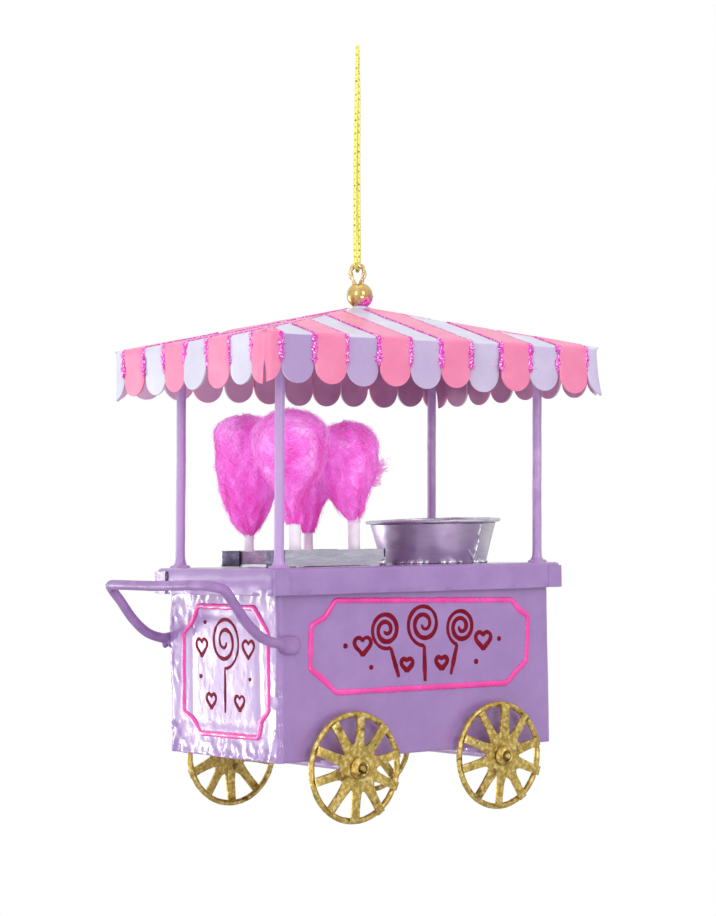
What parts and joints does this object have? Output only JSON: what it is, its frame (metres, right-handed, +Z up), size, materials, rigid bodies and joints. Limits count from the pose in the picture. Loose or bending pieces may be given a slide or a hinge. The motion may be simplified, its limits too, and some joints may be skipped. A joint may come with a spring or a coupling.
{
  "type": "cart ornament",
  "caption": "Hanging tin ornament: a candy floss cart with a scalloped canopy, floss on sticks, a spinner bowl, a push handle and turning spoked wheels.",
  "frame": {"origin": "inside top of the hanging cord's loop, where a hook or twig bears", "axes": "+Z up along the hanging cord; X along the cart's length, with the push handle at -X and the bowl at +X; the cart's near long face looks to -Y"},
  "size_m": [0.0842, 0.0499, 0.1434],
  "materials": {
    "lilac_paint": "gloss enamel over tin",
    "pink_paint": "striped pink and white enamel with glitter lines",
    "bare_tin": "bare bright tin with solder smears",
    "gilt": "gold leaf paint with brown patches",
    "polished_brass": "polished",
    "copper_wire": "twisted wire, dull",
    "white_stick": "white paper stick",
    "floss_fibre": "dyed fluffy fibre",
    "gold_cord": "metallic braid"
  },
  "bodies": {
    "cart": {"body_wall": "lilac_paint", "body_bottom": "lilac_paint", "counter_lid": "lilac_paint", "post_front_left": "lilac_paint", "post_front_right": "lilac_paint", "post_rear_left": "lilac_paint", "post_rear_right": "lilac_paint", "canopy_roof": "pink_paint", "valance_front": "pink_paint", "valance_rear": "pink_paint", "valance_left": "pink_paint", "valance_right": "pink_paint", "bead": "polished_brass", "hanger_eye": "copper_wire", "hang_cord": "gold_cord", "push_handle": "lilac_paint", "tray": "bare_tin", "stick_front_left": "white_stick", "stick_front_right": "white_stick", "stick_rear_left": "white_stick", "stick_rear_right": "white_stick", "floss_front_left": "floss_fibre", "floss_front_right": "floss_fibre", "floss_rear_left": "floss_fibre", "floss_rear_right": "floss_fibre", "bowl_wall": "bare_tin", "bowl_rim": "bare_tin", "bowl_floor": "bare_tin", "axle_left": "lilac_paint", "axle_right": "lilac_paint"},
    "wheel_front_left": {"wheel_ring_front_left": "gilt", "wheel_star_front_left": "gilt", "wheel_hub_front_left": "gilt"},
    "wheel_front_right": {"wheel_ring_front_right": "gilt", "wheel_star_front_right": "gilt", "wheel_hub_front_right": "gilt"},
    "wheel_rear_left": {"wheel_ring_rear_left": "gilt", "wheel_star_rear_left": "gilt", "wheel_hub_rear_left": "gilt"},
    "wheel_rear_right": {"wheel_ring_rear_right": "gilt", "wheel_star_rear_right": "gilt", "wheel_hub_rear_right": "gilt"}
  },
  "joints": [
    {"name": "spin_front_left", "type": "hinge", "parent": "cart", "child": "wheel_front_left", "pos_m": [-0.01724, -0.0203, -0.1328], "axis": [0, 1, 0], "continuous": true},
    {"name": "spin_front_right", "type": "hinge", "parent": "cart", "child": "wheel_front_right", "pos_m": [0.01576, -0.0203, -0.1328], "axis": [0, 1, 0], "continuous": true},
    {"name": "spin_rear_left", "type": "hinge", "parent": "cart", "child": "wheel_rear_left", "pos_m": [-0.01724, 0.021, -0.1328], "axis": [0, 1, 0], "continuous": true},
    {"name": "spin_rear_right", "type": "hinge", "parent": "cart", "child": "wheel_rear_right", "pos_m": [0.01576, 0.021, -0.1328], "axis": [0, 1, 0], "continuous": true}
  ]
}
